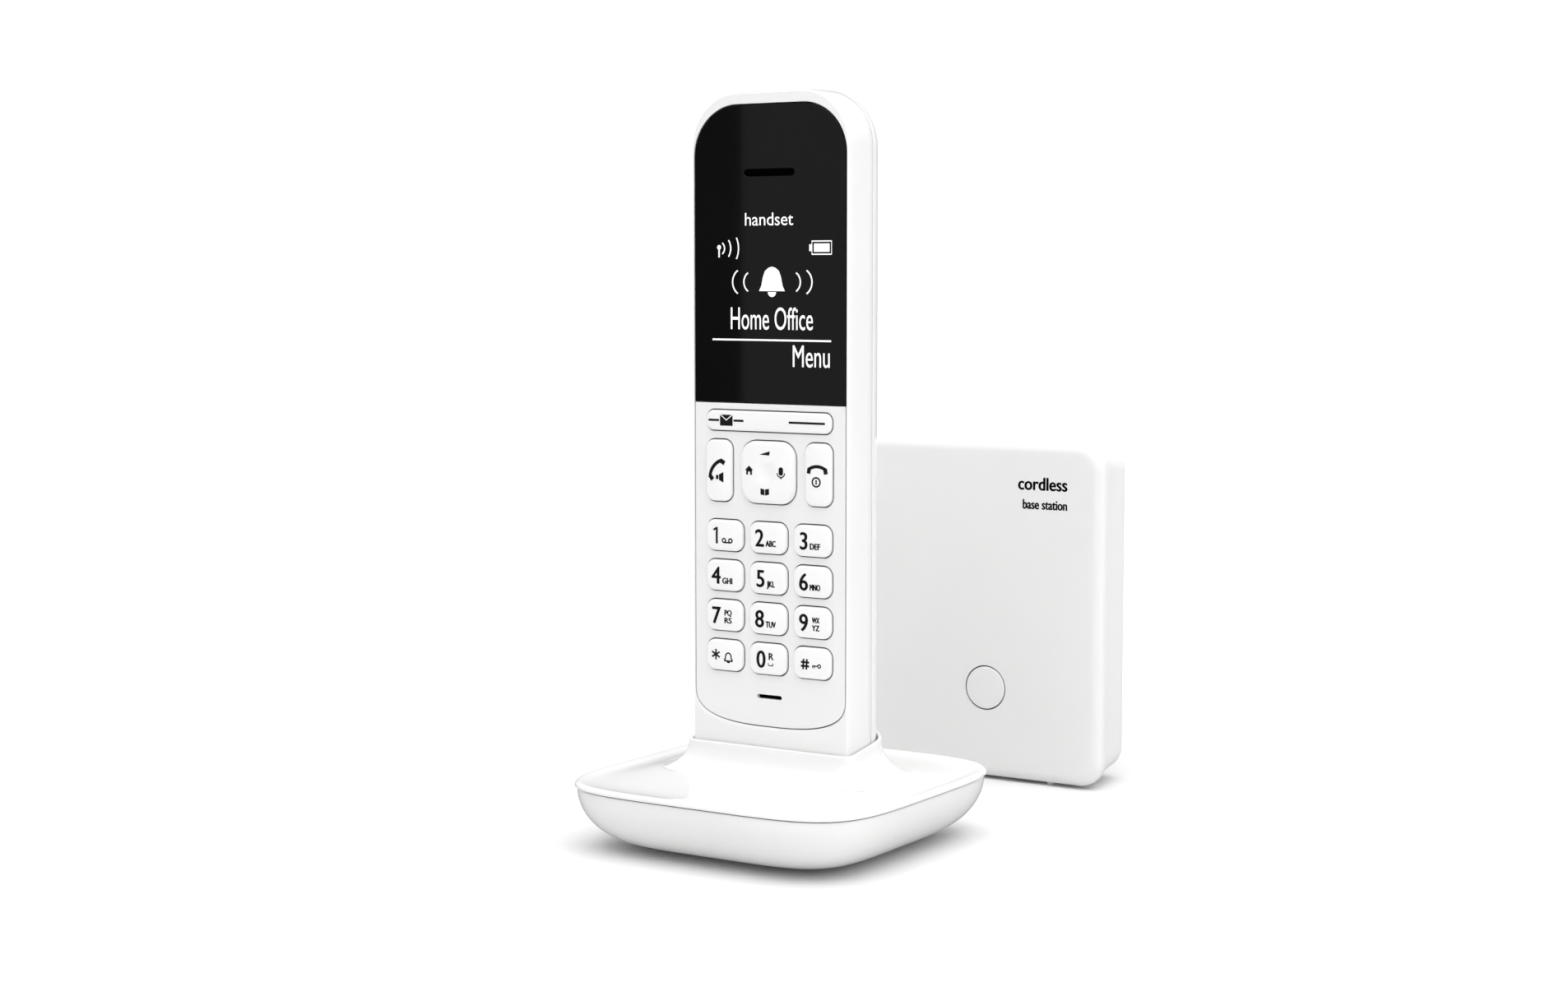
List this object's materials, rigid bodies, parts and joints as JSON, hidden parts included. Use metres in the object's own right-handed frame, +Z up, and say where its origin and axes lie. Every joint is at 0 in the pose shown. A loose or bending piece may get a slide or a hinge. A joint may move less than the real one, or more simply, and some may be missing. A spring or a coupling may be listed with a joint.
{
  "type": "cordless phone set",
  "caption": "White cordless handset with black display lens and keypad, standing in a rounded-square charging cradle, with a separate upright base station box and paging button.",
  "frame": {"origin": "middle of the set's footprint, on the surface that the cradle and the station stand on", "axes": "+Z up, +Y from the keypad side towards the back, +X to the right of a person facing the keypad"},
  "size_m": [0.0896, 0.1706, 0.1946],
  "materials": {
    "handset_white": "glossy moulded white",
    "lens_black": "clear gloss over black print",
    "plate_white": "fine satin",
    "key_white": "semi-gloss with printed legends",
    "silicone": "soft matte",
    "board_green": "solder resist",
    "display_glass": "polished glass",
    "dark_plastic": "fine satin",
    "steel": "plain",
    "cell_sleeve": "printed sleeve",
    "contact_gold": "polished",
    "cradle_white": "glossy moulded white",
    "foot_rubber": "matte",
    "station_white": "satin moulded white",
    "legend_ink": "printed",
    "display_ink": "lit segments"
  },
  "bodies": {
    "cradle": {"cradle_cover": "cradle_white", "cradle_tray": "cradle_white", "cradle_contact_board": "board_green", "cradle_power_inlet": "dark_plastic", "cradle_screw_left": "steel", "cradle_screw_right": "steel", "cradle_foot_front_left": "foot_rubber", "cradle_foot_front_right": "foot_rubber", "cradle_foot_rear_left": "foot_rubber", "cradle_foot_rear_right": "foot_rubber"},
    "handset": {"handset_front_housing": "handset_white", "handset_back_cover": "handset_white", "display_lens": "lens_black", "keypad_plate": "plate_white", "keymat": "silicone", "handset_circuit_board": "board_green", "lcd_module": "display_glass", "lcd_holder": "dark_plastic", "earpiece_receiver": "dark_plastic", "ringer_speaker": "dark_plastic", "microphone": "steel", "battery_cell_left": "cell_sleeve", "battery_cell_right": "cell_sleeve", "battery_spring_left": "steel", "battery_spring_right": "steel", "battery_bridge": "steel", "charge_contact_left": "contact_gold", "charge_contact_right": "contact_gold", "handset_screw_left": "steel", "handset_screw_right": "steel"},
    "battery_door": {"battery_door": "handset_white"},
    "contact_left": {"cradle_contact_left": "contact_gold"},
    "contact_right": {"cradle_contact_right": "contact_gold"},
    "station": {"station_front_cover": "station_white", "station_rear_shell": "station_white", "station_circuit_board": "board_green", "paging_switch": "dark_plastic", "station_line_jack": "dark_plastic", "station_power_jack": "dark_plastic", "station_screw_left": "steel", "station_screw_right": "steel"},
    "paging_button": {"paging_button": "key_white"},
    "soft_key_bar": {"soft_key_bar": "key_white"},
    "nav_pad": {"nav_pad": "silicone"},
    "nav_key": {"nav_key": "key_white"},
    "call_key": {"call_key": "key_white"},
    "end_key": {"end_key": "key_white"},
    "key_star": {"key_star": "key_white"},
    "key_0": {"key_0": "key_white"},
    "key_hash": {"key_hash": "key_white"},
    "key_7": {"key_7": "key_white"},
    "key_8": {"key_8": "key_white"},
    "key_9": {"key_9": "key_white"},
    "key_4": {"key_4": "key_white"},
    "key_5": {"key_5": "key_white"},
    "key_6": {"key_6": "key_white"},
    "key_1": {"key_1": "key_white"},
    "key_2": {"key_2": "key_white"},
    "key_3": {"key_3": "key_white"}
  },
  "joints": [
    {"name": "handset_lift", "type": "slide", "parent": "cradle", "child": "handset", "axis": [0, 0, 1], "range_m": [0, 0.12]},
    {"name": "door_lift_off", "type": "slide", "parent": "handset", "child": "battery_door", "axis": [0, 1, 0], "range_m": [0, 0.02]},
    {"name": "station_lift", "type": "slide", "parent": "cradle", "child": "station", "axis": [0, 0, 1], "range_m": [0, 0.1]},
    {"name": "key_star_press", "type": "slide", "parent": "handset", "child": "key_star", "axis": [0, 1, 0], "range_m": [0, 0.0007], "stiffness_N_per_m": 600},
    {"name": "key_0_press", "type": "slide", "parent": "handset", "child": "key_0", "axis": [0, 1, 0], "range_m": [0, 0.0007], "stiffness_N_per_m": 600},
    {"name": "key_hash_press", "type": "slide", "parent": "handset", "child": "key_hash", "axis": [0, 1, 0], "range_m": [0, 0.0007], "stiffness_N_per_m": 600},
    {"name": "key_7_press", "type": "slide", "parent": "handset", "child": "key_7", "axis": [0, 1, 0], "range_m": [0, 0.0007], "stiffness_N_per_m": 600},
    {"name": "key_8_press", "type": "slide", "parent": "handset", "child": "key_8", "axis": [0, 1, 0], "range_m": [0, 0.0007], "stiffness_N_per_m": 600},
    {"name": "key_9_press", "type": "slide", "parent": "handset", "child": "key_9", "axis": [0, 1, 0], "range_m": [0, 0.0007], "stiffness_N_per_m": 600},
    {"name": "key_4_press", "type": "slide", "parent": "handset", "child": "key_4", "axis": [0, 1, 0], "range_m": [0, 0.0007], "stiffness_N_per_m": 600},
    {"name": "key_5_press", "type": "slide", "parent": "handset", "child": "key_5", "axis": [0, 1, 0], "range_m": [0, 0.0007], "stiffness_N_per_m": 600},
    {"name": "key_6_press", "type": "slide", "parent": "handset", "child": "key_6", "axis": [0, 1, 0], "range_m": [0, 0.0007], "stiffness_N_per_m": 600},
    {"name": "key_1_press", "type": "slide", "parent": "handset", "child": "key_1", "axis": [0, 1, 0], "range_m": [0, 0.0007], "stiffness_N_per_m": 600},
    {"name": "key_2_press", "type": "slide", "parent": "handset", "child": "key_2", "axis": [0, 1, 0], "range_m": [0, 0.0007], "stiffness_N_per_m": 600},
    {"name": "key_3_press", "type": "slide", "parent": "handset", "child": "key_3", "axis": [0, 1, 0], "range_m": [0, 0.0007], "stiffness_N_per_m": 600},
    {"name": "call_key_press", "type": "slide", "parent": "handset", "child": "call_key", "axis": [0, 1, 0], "range_m": [0, 0.0007], "stiffness_N_per_m": 600},
    {"name": "end_key_press", "type": "slide", "parent": "handset", "child": "end_key", "axis": [0, 1, 0], "range_m": [0, 0.0007], "stiffness_N_per_m": 600},
    {"name": "soft_key_rock", "type": "hinge", "parent": "handset", "child": "soft_key_bar", "pos_m": [0, -0.0463, 0.11035], "axis": [0, 0, 1], "range_deg": [-1.4, 1.4], "stiffness_Nm_per_rad": 0.4},
    {"name": "nav_pitch", "type": "hinge", "parent": "handset", "child": "nav_pad", "pos_m": [0, -0.0445, 0.0973], "axis": [1, 0, 0], "range_deg": [-2.5, 2.5], "stiffness_Nm_per_rad": 0.4},
    {"name": "nav_yaw", "type": "hinge", "parent": "nav_pad", "child": "nav_key", "pos_m": [0, -0.0445, 0.0973], "axis": [0, 0, 1], "range_deg": [-2.5, 2.5], "stiffness_Nm_per_rad": 0.4},
    {"name": "contact_left_sink", "type": "slide", "parent": "cradle", "child": "contact_left", "axis": [0, 0, 1], "range_m": [-0.0008, 0], "stiffness_N_per_m": 300},
    {"name": "contact_right_sink", "type": "slide", "parent": "cradle", "child": "contact_right", "axis": [0, 0, 1], "range_m": [-0.0008, 0], "stiffness_N_per_m": 300},
    {"name": "paging_press", "type": "slide", "parent": "station", "child": "paging_button", "axis": [0, 1, 0], "range_m": [0, 0.0008], "stiffness_N_per_m": 600}
  ]
}
